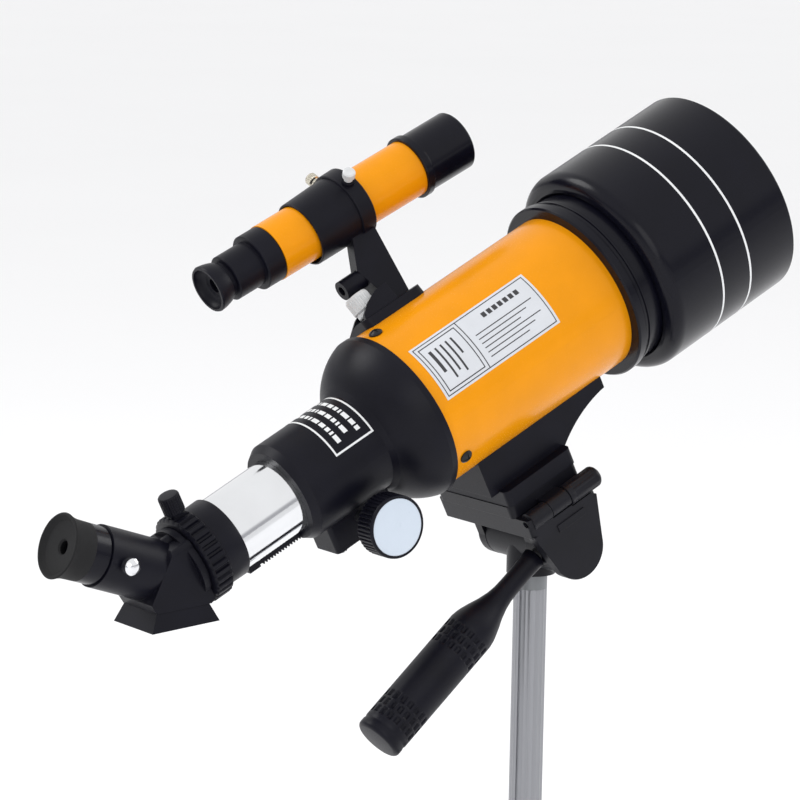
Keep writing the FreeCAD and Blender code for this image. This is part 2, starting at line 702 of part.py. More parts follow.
def make_tube_bracket():
    """Saddle under the tube, with a web and a flat foot that bolts to the platform."""
    y0 = platform_rear + 0.3
    y1 = platform_front
    rear = saddle_rear - tube_rear_behind_tilt_axis
    block_front = saddle_block_front - tube_rear_behind_tilt_axis
    front = saddle_front - tube_rear_behind_tilt_axis
    foot = soft_block(-bracket_foot_half_width, bracket_foot_half_width, y0, y1,
                      platform_top + 0.1, bracket_foot_top, 3.0, Z)
    under = bracket_foot_top - 1
    arc_start = V(0, block_front, under)
    arc_end = V(0, front, 51.6)
    edges = [
        Part.makeLine(V(0, rear, under), arc_start),
        Part.Arc(arc_start, V(0, block_front + 12.0, 46.6), arc_end).toShape(),
        Part.makeLine(arc_end, V(0, front, 75)),
        Part.makeLine(V(0, front, 75), V(0, rear, 75)),
        Part.makeLine(V(0, rear, 75), V(0, rear, under))]
    web = Part.Face(Part.Wire(edges)).extrude(V(2 * saddle_half_width, 0, 0))
    web.translate(V(-saddle_half_width, 0, 0))
    axis_height = tube_axis_above_tilt_axis
    body = foot.fuse(web).cut([
        rod(tube_radius, V(0, -60, axis_height), V(0, 80, axis_height)),
        block(-40, 40, -60, 80, axis_height - 30, axis_height + 10),
        rod(mount_screw_radius + 0.08, V(0, 1, 0), V(0, 1, platform_top + 8.2))])
    screw_holes = [rod(1.55, V(0, station - tube_rear_behind_tilt_axis, 43.0),
                       V(0, station - tube_rear_behind_tilt_axis, 53))
                   for station in bracket_screw_stations]
    add("tube_bracket", tilt_frame, body.cut(screw_holes))


def make_platform():
    plate = soft_block(platform_left, platform_right, platform_rear, platform_front,
                       platform_bottom, platform_top, 3.0, Z)
    knuckle_front = lock_knob_rear - 0.3
    knuckle = rod(knuckle_radius, V(hinge_x, knuckle_split, hinge_z), V(hinge_x, knuckle_front, hinge_z))
    arm = block(platform_right - 2, hinge_x, knuckle_split, knuckle_front, platform_bottom,
                hinge_z + knuckle_radius)
    body = plate.fuse([knuckle, arm]).cut([
        rod(hinge_pin_radius + 0.05, V(hinge_x, -30, hinge_z), V(hinge_x, 30, hinge_z)),
        rod(mount_screw_radius + 0.25, V(0, 1, 0), V(0, 1, 40)),
        rod(12.0, V(0, 1, platform_bottom - 1), V(0, 1, platform_bottom + 4.0))])
    add("platform", tilt_frame, body)
    screw = rod(11.6, V(0, 1, platform_bottom + 0.3), V(0, 1, platform_bottom + 3.7))
    screw = screw.fuse(rod(mount_screw_radius, V(0, 1, platform_bottom + 1),
                                     V(0, 1, platform_top + 7.0)))
    add("mount_screw", tilt_frame, screw)


def make_tilt_bracket():
    plate = soft_block(bracket_plate_left, cheek_outer, -19.0, 19.0, bracket_plate_bottom,
                       bracket_plate_top, 2.5, Z)
    taper = math.radians(20.0)
    top_reach = 19.0
    low_y = cheek_radius * math.cos(taper)
    low_z = -cheek_radius * math.sin(taper)
    outline = [(-low_y, low_z), (-top_reach, bracket_plate_bottom + 1),
               (top_reach, bracket_plate_bottom + 1),
               (low_y, low_z)]
    cheek = plate_yz(outline, cheek_inner, cheek_outer)
    cheek = cheek.fuse(rod(cheek_radius, V(cheek_inner, 0, 0), V(cheek_outer, 0, 0)))
    mark = block(cheek_outer - 0.5, cheek_outer + 0.5, -6.0, 10.0, 12.6, 16.0)
    hub = rod(hub_radius, V(12.0, 0, 0), V(cheek_inner + 1, 0, 0))
    hub_neck = block(12.0, cheek_inner + 1, -11.0, 11.0, 0, bracket_plate_bottom + 1)
    ear = rod(ear_radius, V(ear_left, 0, 0), V(drum_left - 0.3, 0, 0))
    ear_neck = block(ear_left, drum_left - 0.3, -ear_radius + 0.5, ear_radius - 0.5, 0,
                     bracket_plate_bottom + 1)
    knuckle = rod(knuckle_radius, V(hinge_x, hinge_rear, hinge_z), V(hinge_x, knuckle_split - 0.3, hinge_z))
    body = plate.fuse([cheek, hub, hub_neck, ear, ear_neck, mark, knuckle])
    rod_hole = rod(rod_radius + 0.08, V(0, 0, 0), V(0, 30, 0))
    rod_hole.Placement = tilt_frame.inverse().multiply(handle_frame)
    split = knuckle_split - 0.3
    cutters = [
        rod(spigot_radius + 0.06, V(11.0, 0, 0), V(spigot_right + 0.3, 0, 0)),
        rod(bolt_radius + 0.02, V(-30, 0, 0), V(cheek_outer - 2.5, 0, 0)),
        rod(hinge_pin_radius + 0.02, V(hinge_x, -30, hinge_z), V(hinge_x, 30, hinge_z)),
        rod(knuckle_radius + 0.35, V(hinge_x, split, hinge_z), V(hinge_x, lock_knob_rear, hinge_z)),
        rod(lock_knob_radius + 0.35, V(hinge_x, lock_knob_rear - 0.3, hinge_z), V(hinge_x, 30, hinge_z)),
        block(hinge_x - 2, 40, split, 30, hinge_z, 40),
        rod_hole]
    add("tilt_bracket", tilt_frame, body.cut(cutters))
    bolt = rod(bolt_radius, V(ear_left - 2, 0, 0), V(cheek_outer - 2.6, 0, 0))
    head = Part.Face(Part.makePolygon([
        V(ear_left - 4, 5.4 * math.cos(math.radians(60 * k)), 5.4 * math.sin(math.radians(60 * k)))
        for k in range(7)])).extrude(V(4, 0, 0))
    add("tilt_bolt", tilt_frame, bolt.fuse(head))
    pin = rod(hinge_pin_radius, V(hinge_x, hinge_rear - 0.6, hinge_z),
              V(hinge_x, lock_knob_front - 5, hinge_z))
    add("flip_hinge_pin", tilt_frame, pin)
    knob = lathe([(hinge_pin_radius + 0.04, lock_knob_rear), (lock_knob_radius, lock_knob_rear),
                  (lock_knob_radius, lock_knob_front - 3),
                  dome(lock_knob_radius, lock_knob_front - 3, lock_knob_front) + (0, lock_knob_front),
                  (0, lock_knob_front - 4.9), (hinge_pin_radius + 0.04, lock_knob_front - 4.9)])
    knob.translate(V(hinge_x, 0, hinge_z))
    add("flip_lock_knob", tilt_frame, knob)


def make_head_base():
    drum = rod(drum_radius, V(drum_left, 0, 0), V(drum_right, 0, 0))
    spigot = rod(spigot_radius, V(0, 0, 0), V(spigot_right, 0, 0))
    post = rod(head_base_radius, V(0, 0, -head_base_drop), V(0, 0, 0))
    body = drum.fuse([spigot, post]).cut([
        rod(bolt_radius + 0.08, V(-40, 0, 0), V(40, 0, 0)),
        rod(4.08, V(0, 0, -head_base_drop - 1), V(0, 0, -6.6))])
    stand = Placement(V(0, 0, tilt_axis_height), Rotation())
    add("head_base", stand, body)


def make_handle():
    pad = rod(rod_radius, V(0, rod_tip, 0), V(0, 30, 0))
    add("handle_rod", handle_frame, pad)
    neck = lathe([(rod_radius, neck_start), (5.0, neck_start), (5.4, neck_start + 0.6),
                  (4.7, 24.0, 4.9, 37.0),
                  (6.4, 45.0, grip_radius - 0.9, grip_start), (grip_radius, grip_start + 4.0),
                  (grip_radius, grip_end - 2.0), (grip_radius - 1.2, grip_end), (0, grip_end),
                  (0, 30.0), (rod_radius, 30.0)])
    add("handle_grip", handle_frame, neck)


# ---------------------------------------------------------------- tripod

def make_column():
    """Aluminium column with a key groove, the smooth collar that carries the head, and its end cap."""
    top = -column_collar_height
    bottom = top - column_length
    bore = rod(column_bore, V(0, 0, bottom), V(0, 0, top))
    tube = rod(column_radius, V(0, 0, bottom), V(0, 0, top)).cut(bore)
    key = block(-1.5, 1.5, column_radius - 1.2, column_radius + 2, bottom - 1, top + 1)
    key.rotate(ORIGIN, Z, key_groove_azimuth)
    add("center_column", column_frame, tube.cut(key))
    collar = rod(column_radius, V(0, 0, top), V(0, 0, -0.2)).fuse([
        rod(4.0, V(0, 0, -1), V(0, 0, 9.2)), rod(column_bore - 0.02, V(0, 0, top - 12), V(0, 0, top))])
    add("column_collar", column_frame, collar)
    cap = rod(9.4, V(0, 0, bottom - 4), V(0, 0, bottom)).fuse(
        rod(column_bore - 0.02, V(0, 0, bottom), V(0, 0, bottom + 10)))
    cap = cap.makeFillet(1.2, [edge for edge in cap.Edges if edge.BoundBox.ZMax < bottom - 3.9])
    add("column_end_cap", column_frame, cap)


def make_crown():
    hub = rod(crown_radius, V(0, 0, crown_bottom), V(0, 0, crown_top - 10)).fuse(
        Part.makeCone(crown_radius, 12.5, 4, V(0, 0, crown_top - 10), Z)).fuse(
        rod(12.5, V(0, 0, crown_top - 6), V(0, 0, crown_top)))
    lugs = []
    for azimuth in leg_azimuths:
        for x in (lug_inner, -lug_inner - lug_thickness):
            lug = block(x, x + lug_thickness, 8, leg_pivot_radius, crown_bottom + 4, crown_top - 12)
            lug = lug.fuse(rod(8.0, V(x, leg_pivot_radius, leg_pivot_height),
                               V(x + lug_thickness, leg_pivot_radius, leg_pivot_height)))
            lug.rotate(ORIGIN, Z, azimuth)
            lugs.append(lug)
    boss = rod(5.5, V(0, 10, 204), V(0, crown_radius + 5, 204))
    boss.rotate(ORIGIN, Z, lock_knob_azimuth)
    body = hub.fuse(lugs + [boss])
    cutters = [rod(column_radius + column_clearance, V(0, 0, crown_bottom - 1), V(0, 0, crown_top + 1))]
    screw_hole = rod(2.6, V(0, 0, 204), V(0, crown_radius + 10, 204))
    screw_hole.rotate(ORIGIN, Z, lock_knob_azimuth)
    cutters.append(screw_hole)
    for azimuth in leg_azimuths:
        pin = rod(2.02, V(-20, leg_pivot_radius, leg_pivot_height),
                  V(20, leg_pivot_radius, leg_pivot_height))
        pin.rotate(ORIGIN, Z, azimuth)
        slot = block(-lug_inner, lug_inner, crown_radius - 1.5, 40, crown_bottom - 2, leg_pivot_height + 9)
        slot.rotate(ORIGIN, Z, azimuth)
        cutters += [pin, slot]
    add("tripod_crown", Placement(), body.cut(cutters))
    pins = []
    for azimuth in leg_azimuths:
        reach = lug_inner + lug_thickness + 1.2
        pin = rod(2.0, V(-reach, leg_pivot_radius, leg_pivot_height),
                  V(reach, leg_pivot_radius, leg_pivot_height))
        head = rod(3.6, V(reach - 1.2, leg_pivot_radius, leg_pivot_height), V(reach + 0.8, leg_pivot_radius,
                                                                             leg_pivot_height))
        pin = pin.fuse(head)
        pin.rotate(ORIGIN, Z, azimuth)
        pins.append(pin)
    add("leg_pivot_pins", Placement(), Part.makeCompound(pins))


def make_lock_knob():
    seat = crown_radius + 5.3
    knob = lathe([(0, seat), (6.0, seat), (6.0, seat + 2), (10.0, seat + 3.5), (10.0, seat + 10),
                  (9.0, seat + 11),
                  (0, seat + 11)])
    lobes = []
    for index in range(6):
        angle = 2 * math.pi * index / 6
        at = V(12.6 * math.cos(angle), 0, 12.6 * math.sin(angle))
        lobes.append(rod(4.6, at, at + V(0, seat + 20, 0)))
    knob = knob.cut(lobes).fuse(rod(2.5, V(0, column_radius + 0.4, 0), V(0, seat + 1, 0)))
    knob.translate(V(0, 0, 204))
    knob.rotate(ORIGIN, Z, lock_knob_azimuth)
    add("column_lock_knob", Placement(), knob)


def make_leg(number, azimuth):
    """Hollow leg with a solid tongue at its pivot, and the rubber foot pushed over its end."""
    frame = leg_frame(azimuth)
    leg_end = leg_length - 4.0
    leg = soft_block(-leg_width / 2, leg_width / 2, -leg_depth / 2, leg_depth / 2, -leg_end, -12.0, 2.0, Z)
    hollow = block(-leg_width / 2 + leg_wall, leg_width / 2 - leg_wall, -leg_depth / 2 + leg_wall,
                   leg_depth / 2 - leg_wall, -leg_end - 1, -24.0)
    tongue = block(-6.0, 6.0, -leg_depth / 2, leg_depth / 2, -13.0, 0.0)
    tongue = tongue.fuse(rod(leg_depth / 2, V(-6.0, 0, 0), V(6.0, 0, 0)))
    leg = leg.fuse(tongue).cut([hollow, rod(2.08, V(-8, 0, 0), V(8, 0, 0))])
    add("leg_%d" % number, frame, leg)
    foot = soft_block(-9.5, 9.5, -7.5, 7.5, -leg_length - 14.0, -foot_start, 3.0, Z)
    sleeve = block(-leg_width / 2 - 0.02, leg_width / 2 + 0.02, -leg_depth / 2 - 0.02, leg_depth / 2 + 0.02,
                   -leg_end, 0)
    foot = foot.cut(sleeve)
    foot.Placement = frame.multiply(foot.Placement)
    ground = block(-400, 400, -400, 400, -100, 0)
    nodes["rubber_foot_%d" % number] = foot.cut(ground)


# ---------------------------------------------------------------- assembly and export

def build():
    make_main_tube()
    make_rear_cell()
    make_tube_screws()
    make_pinion_cover()
    make_drawtube()
    make_rack()
    make_pinion_shaft()
    make_knobs()
    make_collar()
    make_collar_screw()
    make_diagonal()
    make_diagonal_base()
    make_diagonal_set_screw()
    make_eyepiece()
    make_lens_cell()
    make_objective()
    make_dew_shield()
    make_finder_optics()
    make_finder_bracket()
    make_finder_screws()
    make_tube_bracket()
    make_platform()
    make_tilt_bracket()
    make_head_base()
    make_handle()
    make_column()
    make_crown()
    make_lock_knob()
    for number, azimuth in enumerate(leg_azimuths, 1):
        make_leg(number, azimuth)


build()

# the stand's frame has its origin under the column; move it to the middle of the covered floor
whole = Part.makeCompound(list(nodes.values())).optimalBoundingBox(False, False)
to_origin = V(-(whole.XMin + whole.XMax) / 2, -(whole.YMin + whole.YMax) / 2, 0)

os.makedirs("parts", exist_ok=True)
for name, piece in nodes.items():
    moved = piece.copy()
    moved.translate(to_origin)
    moved.exportStep("parts/" + name + ".step")
print(len(nodes), "nodes; origin shift", to_origin, "bounds", whole)
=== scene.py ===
import bmesh
import bpy
import json
import math
from mathutils import Matrix, Vector


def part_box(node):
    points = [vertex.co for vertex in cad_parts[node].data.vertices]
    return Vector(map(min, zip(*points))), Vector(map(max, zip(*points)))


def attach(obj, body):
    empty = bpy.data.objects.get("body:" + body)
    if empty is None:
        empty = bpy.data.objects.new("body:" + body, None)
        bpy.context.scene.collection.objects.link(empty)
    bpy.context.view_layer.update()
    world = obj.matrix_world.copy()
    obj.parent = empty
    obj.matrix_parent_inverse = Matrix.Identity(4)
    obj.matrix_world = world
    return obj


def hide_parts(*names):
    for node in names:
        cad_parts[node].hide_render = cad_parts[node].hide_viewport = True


# Looks of the tabletop telescope.  Metres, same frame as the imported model: +Z up,
# +Y the way the telescope looks, +X its right-hand side.

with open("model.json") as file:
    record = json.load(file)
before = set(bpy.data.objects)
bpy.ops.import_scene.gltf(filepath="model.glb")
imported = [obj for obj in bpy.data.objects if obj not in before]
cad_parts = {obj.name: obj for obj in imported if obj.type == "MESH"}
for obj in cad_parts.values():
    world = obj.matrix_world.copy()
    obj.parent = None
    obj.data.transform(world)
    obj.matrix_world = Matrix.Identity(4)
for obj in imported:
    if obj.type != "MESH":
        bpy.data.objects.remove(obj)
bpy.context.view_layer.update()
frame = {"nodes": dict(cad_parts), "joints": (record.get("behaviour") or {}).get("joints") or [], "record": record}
joints = {joint["name"]: joint for joint in frame["joints"]}
nodes = frame["nodes"]
MM = 0.001

# sizes of the model's pieces in mm, stations counted along the tube from its rear end
TUBE_RADIUS = 38.0
NECK_RADIUS = 23.4
SHIELD_RADIUS = 50.25
DIAGONAL_JOINT_STATION = -112.0
GRIP_JOINT_REACH = 60.0
GRIP_RADIUS = 11.0
GRIP_END = 125.0
COLLAR_BAND_RADIUS = 20.8
COLLAR_REAR = -120.5
COLLAR_BAND_FRONT = -111.4
COLLAR_FRONT = -100.5
COLLAR_BORE = 12.35
KNOB_INNER = 22.8
KNOB_OUTER = 37.5
KNOB_RADIUS = 13.85
FLIP_KNOB_RADIUS = 5.0
COLUMN_RADIUS = 7.6
COLUMN_GROOVE = 295.0
COLUMN_GROOVE_HALF_ANGLE = 12.0
COLUMN_GROOVE_RADIUS = 6.5
COLUMN_FLUTES = 20
COLUMN_FLUTE_DEPTH = 0.32


# ---------------------------------------------------------------- frames from the model

def axes_matrix(origin, along, side):
    """Frame at origin whose Y runs along, X to the side, and Z completes it."""
    y = Vector(along).normalized()
    x = (Vector(side) - Vector(side).dot(y) * y).normalized()
    z = x.cross(y)
    return Matrix(((x.x, y.x, z.x, origin[0]), (x.y, y.y, z.y, origin[1]),
                   (x.z, y.z, z.z, origin[2]), (0, 0, 0, 1)))


SIDE = Vector((1, 0, 0))
TUBE_DIRECTION = Vector(joints["drawtube_travel"]["axis"])
TUBE_REAR = Vector(joints["diagonal_turn"]["pos_m"]) - DIAGONAL_JOINT_STATION * MM * TUBE_DIRECTION
OPTIC = axes_matrix(TUBE_REAR, TUBE_DIRECTION, SIDE)
HANDLE_DIRECTION = Vector(joints["handle_twist"]["axis"])
HANDLE_ROOT = Vector(joints["handle_twist"]["pos_m"]) - GRIP_JOINT_REACH * MM * HANDLE_DIRECTION
HANDLE = axes_matrix(HANDLE_ROOT, HANDLE_DIRECTION, SIDE)
COLLAR_SCREW = axes_matrix(joints["collar_screw_turn"]["pos_m"], joints["collar_screw_turn"]["axis"], SIDE)


# ---------------------------------------------------------------- materials

def node(tree, kind, x, y, **inputs):
    made = tree.nodes.new(kind)
    made.location = (x, y)
    for key, value in inputs.items():
        made.inputs[key].default_value = value
    return made


def material(name, color, roughness=0.4, metallic=0.0, grain=900.0, bump=0.15, spread=0.12,
             shade=0.75, coat=0.0, edge=0.0003, stretch=(1, 1, 1), specular=0.5, large=60.0):
    """Moulded, painted or plated finish: cloudy colour, uneven gloss, fine grain and softened edges."""
    made = bpy.data.materials.new(name)
    made.use_nodes = True
    tree = made.node_tree
    shader = tree.nodes["Principled BSDF"]
    link = tree.links.new
    place = node(tree, "ShaderNodeTexCoord", -1300, 0)
    mapping = node(tree, "ShaderNodeMapping", -1120, 0)
    mapping.inputs["Scale"].default_value = stretch
    link(place.outputs["Object"], mapping.inputs["Vector"])
    cloud = node(tree, "ShaderNodeTexNoise", -900, 200, Scale=large, Detail=4.0)
    fine = node(tree, "ShaderNodeTexNoise", -900, -160, Scale=grain, Detail=3.0)
    link(mapping.outputs[0], cloud.inputs["Vector"])
    link(mapping.outputs[0], fine.inputs["Vector"])
    ramp = node(tree, "ShaderNodeValToRGB", -660, 200)
    ramp.color_ramp.elements[0].position = 0.3
    ramp.color_ramp.elements[1].position = 0.72
    dark = [value * shade for value in color]
    ramp.color_ramp.elements[0].color = (*dark, 1)
    ramp.color_ramp.elements[1].color = (*color, 1)
    link(cloud.outputs["Fac"], ramp.inputs["Fac"])
    link(ramp.outputs["Color"], shader.inputs["Base Color"])
    rough = node(tree, "ShaderNodeMapRange", -660, -60)
    rough.inputs["To Min"].default_value = max(0.02, roughness - spread)
    rough.inputs["To Max"].default_value = min(1.0, roughness + spread)
    link(fine.outputs["Fac"], rough.inputs["Value"])
    link(rough.outputs["Result"], shader.inputs["Roughness"])
    shader.inputs["Metallic"].default_value = metallic
    shader.inputs["Specular IOR Level"].default_value = specular
    if coat:
        shader.inputs["Coat Weight"].default_value = coat
        shader.inputs["Coat Roughness"].default_value = 0.08
    relief = node(tree, "ShaderNodeBump", -420, -300, Strength=bump, Distance=0.0002)
    link(fine.outputs["Fac"], relief.inputs["Height"])
    if edge:
        soft = node(tree, "ShaderNodeBevel", -640, -420, Radius=edge)
        link(soft.outputs["Normal"], relief.inputs["Normal"])
    link(relief.outputs["Normal"], shader.inputs["Normal"])
    return made


def glass_material(name, tint):
    """Coated lens: dark, clear and glossy, with a faint uneven coating."""
    made = material(name, tint, roughness=0.06, grain=300.0, bump=0.02, spread=0.03, coat=1.0, edge=0)
    made.node_tree.nodes["Principled BSDF"].inputs["Transmission Weight"].default_value = 0.55
    return made


YELLOW = (0.79, 0.290, 0.003)
MATERIALS = {
    "orange_paint": material("tube_lacquer", YELLOW, 0.26, 0.0, 1400, 0.05, 0.05, 0.93, coat=0.06, edge=0,
                             specular=0.12),
    "black_plastic": material("moulded_black", (0.0048, 0.0048, 0.0098), 0.4, 0.0, 1800, 0.16, 0.1, 0.7,
                              specular=0.15),
    "gloss_black": material("gloss_black", (0.0040, 0.0040, 0.0085), 0.22, 0.0, 900, 0.05, 0.06, 0.8,
                            coat=0.03,
                            specular=0.16),
    "head_grey": material("head_black", (0.0065, 0.0065, 0.0105), 0.38, 0.0, 1500, 0.16, 0.1, 0.7,
                          specular=0.2),
    "chrome": material("plated_chrome", (0.80, 0.81, 0.83), 0.09, 1.0, 500, 0.03, 0.04, 0.95),
    "steel": material("zinc_steel", (0.42, 0.43, 0.45), 0.34, 1.0, 1200, 0.12, 0.1, 0.8),
    "aluminium": material("anodised_aluminium", (0.31, 0.315, 0.335), 0.36, 0.85, 900, 0.1, 0.08, 0.9,
                          stretch=(1, 1, 0.04)),
    "collar_grey": material("column_collar_grey", (0.20, 0.21, 0.22), 0.4, 0.3, 900, 0.1, 0.08, 0.9),
    "rubber": material("soft_rubber", (0.009, 0.009, 0.010), 0.7, 0.0, 2200, 0.3, 0.1, 0.7, specular=0.25),
    "glass": glass_material("coated_glass", (0.18, 0.21, 0.30)),
    "nickel": material("knurled_nickel", (0.60, 0.56, 0.47), 0.28, 1.0, 1200, 0.1, 0.08, 0.8),
    "black_steel": material("blackened_steel", (0.02, 0.02, 0.022), 0.35, 0.6, 1200, 0.12, 0.1, 0.8),
    "clear_knob": material("pale_knob", (0.70, 0.71, 0.72), 0.3, 0.0, 900, 0.1, 0.08, 0.85, coat=0.3),
    "blue_cap": material("pale_cap", (0.56, 0.63, 0.72), 0.3, 0.0, 900, 0.04, 0.06, 0.96, coat=0.3),
}
SLOTS = {entry["node"]: entry["material_slot"] for entry in frame["record"]["subparts"]}
for name, piece in nodes.items():
    piece.data.materials.clear()
    piece.data.materials.append(MATERIALS[SLOTS[name]])


# ---------------------------------------------------------------- mesh helpers

def finish_piece(name, mesh_bm, matrix, slot, body, replaced=(), smooth=True, finish=None, sharp=35.0):
    """Turn a bmesh into a named piece that rides on a body and may stand for CAD nodes."""
    bmesh.ops.recalc_face_normals(mesh_bm, faces=mesh_bm.faces)
    mesh = bpy.data.meshes.new(name)
    mesh_bm.to_mesh(mesh)
    mesh_bm.free()
    mesh.transform(matrix)
    for face in mesh.polygons:
        face.use_smooth = smooth
    if smooth:
        mesh.set_sharp_from_angle(angle=math.radians(sharp))
    mesh.materials.append(finish or MATERIALS[slot])
    piece = bpy.data.objects.new(name, mesh)
    bpy.context.scene.collection.objects.link(piece)
    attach(piece, body)
    if replaced:
        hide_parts(*replaced)
    return piece


def lathe(profile, segments=96, closed=True, shape=None):
    """Surface of revolution about Y from (radius, station) pairs in mm; shape may move each radius."""
    made = bmesh.new()
    rings = []
    for radius, station in profile:
        if radius < 1e-6:
            rings.append([made.verts.new((0, station * MM, 0))])
            continue
        ring = []
        for index in range(segments):
            angle = 2 * math.pi * index / segments
            r = shape(radius, station, angle) if shape else radius
            ring.append(made.verts.new((r * MM * math.sin(angle), station * MM, r * MM * math.cos(angle))))
        rings.append(ring)
    pairs = list(zip(rings, rings[1:]))
    if closed:
        pairs.append((rings[-1], rings[0]))
    for first, second in pairs:
        if len(first) == 1 and len(second) == 1:
            continue
        for index in range(segments):
            after = (index + 1) % segments
            if len(first) == 1:
                made.faces.new((first[0], second[index], second[after]))
            elif len(second) == 1:
                made.faces.new((first[index], second[0], first[after]))
            else:
                made.faces.new((first[index], second[index], second[after], first[after]))
    return made


def curved_sheet(radius, thickness, s0, s1, a0, a1, matrix_name, finish, slot, body, columns=40, rows=6):
    """Thin label wrapped on a cylinder about Y, between two stations and two angles (degrees)."""
    made = bmesh.new()
    layers = []
    for r in (radius, radius + thickness):
        grid = []
        for j in range(rows + 1):
            station = s0 + (s1 - s0) * j / rows
            line = []
            for i in range(columns + 1):
                angle = math.radians(a0 + (a1 - a0) * i / columns)
                line.append(made.verts.new((r * MM * math.sin(angle), station * MM,
                                            r * MM * math.cos(angle))))
            grid.append(line)
        layers.append(grid)
    for grid in layers:
        for j in range(rows):
            for i in range(columns):
                made.faces.new((grid[j][i], grid[j][i + 1], grid[j + 1][i + 1], grid[j + 1][i]))
    low, high = layers
    rim = [(0, i) for i in range(columns)] + [(j, columns) for j in range(rows)]
    rim += [(rows, i) for i in range(columns, 0, -1)] + [(j, 0) for j in range(rows, 0, -1)]
    for (j0, i0), (j1, i1) in zip(rim, rim[1:] + rim[:1]):
        made.faces.new((low[j0][i0], low[j1][i1], high[j1][i1], high[j0][i0]))
    return finish_piece(matrix_name, made, OPTIC, slot, body, finish=finish, sharp=50)


# ---------------------------------------------------------------- labels

PAPER = material("label_film", (0.66, 0.68, 0.72), 0.34, 0.25, 700, 0.03, 0.06, 0.94, edge=0)
INK = material("label_ink", (0.03, 0.03, 0.035), 0.45, 0.0, 900, 0.05, 0.06, 0.8, edge=0)
WHITE_INK = material("white_print", (0.78, 0.79, 0.80), 0.5, 0.0, 900, 0.05, 0.06, 0.9, edge=0)
LABEL_MIDDLE = 53.7
LABEL_HALF_WIDTH = 14.0
LABEL_REAR = 6.0
LABEL_FRONT = 73.0
NECK_PANEL = (-46.0, -24.5, -40.0, 63.5)


def printed(name, radius, rectangles, layer, finish, slot="gloss_black"):
    """Blank printed shapes (s0, s1, angle0, angle1) joined into one piece above a surface."""
    made = bmesh.new()
    for s0, s1, a0, a1 in rectangles:
        columns = max(1, int(abs(a1 - a0) / 3) + 1)
        for step in range(columns):
            b0 = math.radians(a0 + (a1 - a0) * step / columns)
            b1 = math.radians(a0 + (a1 - a0) * (step + 1) / columns)
            r = (radius + layer) * MM
            corners = [(b0, s0), (b1, s0), (b1, s1), (b0, s1)]
            made.faces.new([made.verts.new((r * math.sin(b), s * MM, r * math.cos(b))) for b, s in corners])
    bmesh.ops.remove_doubles(made, verts=made.verts, dist=1e-6)
    return finish_piece(name, made, OPTIC, slot, "telescope", finish=finish, sharp=60)


def frame_lines(s0, s1, a0, a1, width, radius):
    """Four rectangles that outline a panel; width in mm."""
    turn = math.degrees(width / radius)
    return [(s0, s0 + width, a0, a1), (s1 - width, s1, a0, a1),
            (s0 + width, s1 - width, a0, a0 + turn), (s0 + width, s1 - width, a1 - turn, a1)]


def make_tube_label():
    """Pale label with plain frames, rules and bars on it, none of which spells anything."""
    half = math.degrees(LABEL_HALF_WIDTH / TUBE_RADIUS)
    a0 = LABEL_MIDDLE - half
    a1 = LABEL_MIDDLE + half
    curved_sheet(TUBE_RADIUS + 0.02, 0.08, LABEL_REAR, LABEL_FRONT, a0, a1, "tube_label", PAPER,
                 "clear_knob", "telescope")
    lines = frame_lines(LABEL_REAR + 1.2, LABEL_FRONT - 1.2, a0 + 1.6, a1 - 1.6, 0.45, TUBE_RADIUS)
    lines += frame_lines(9.0, 30.0, a0 + 4.0, a1 - 4.0, 0.5, TUBE_RADIUS)
    lines += [(31.5, 32.0, a0 + 1.6, a1 - 1.6)]
    for row in range(6):
        start = a0 + 17.5 + row * 3.4
        lines.append((35.0, 68.0 - (row % 3) * 5.0, start, start + 0.7))
    for index in range(7):
        lines.append((44.0 + index * 3.2, 46.2 + index * 3.2, a0 + 7.0, a0 + 10.8))
    printed("tube_label_print", TUBE_RADIUS, lines, 0.13, INK)
    blocks = [(12.0, 13.6, a0 + 9.0, a1 - 16.0), (15.6, 16.6, a0 + 9.0, a1 - 9.0),
              (18.6, 19.6, a0 + 9.0, a1 - 12.0), (21.6, 22.6, a0 + 9.0, a1 - 9.0),
              (24.6, 25.6, a0 + 9.0, a1 - 20.0)]
    printed("tube_label_blocks", TUBE_RADIUS, blocks, 0.13, INK)


def make_neck_label():
    """White frame round three rows of plain bars."""
    s0, s1, a0, a1 = NECK_PANEL
    lines = frame_lines(s0, s1, a0, a1, 0.9, NECK_RADIUS)
    for row in range(3):
        s = s0 + 4.2 + 5.4 * row
        at = a0 + 10.0
        step = 0
        while at < a1 - 14.0:
            width = 3.0 + 2.2 * ((step * 7 + row * 3) % 4)
            lines.append((s, s + 2.2, at, at + width))
            at += width + 2.2
            step += 1
    printed("neck_label_print", NECK_RADIUS, lines, 0.09, WHITE_INK)


make_tube_label()
make_neck_label()


# ---------------------------------------------------------------- dew shield lines

SHIELD_LINE_STATIONS = (153.0, 170.3)


def make_shield_lines():
    low = SHIELD_RADIUS + 0.01
    high = SHIELD_RADIUS + 0.05
    for index, station in enumerate(SHIELD_LINE_STATIONS):
        made = lathe([(low, station - 0.55), (high, station - 0.5), (high, station + 0.5),
                      (low, station + 0.55)], 160, closed=False)
        finish_piece("shield_line_%d" % (index + 1), made, OPTIC, "clear_knob", "telescope",
                     finish=WHITE_INK)


make_shield_lines()


# ---------------------------------------------------------------- handle grip

BAND_MIDDLES = (68.0, 110.0)
BAND_STEP = 4.6
DIMPLES_AROUND = 18
DIMPLE_DEPTH = 0.95


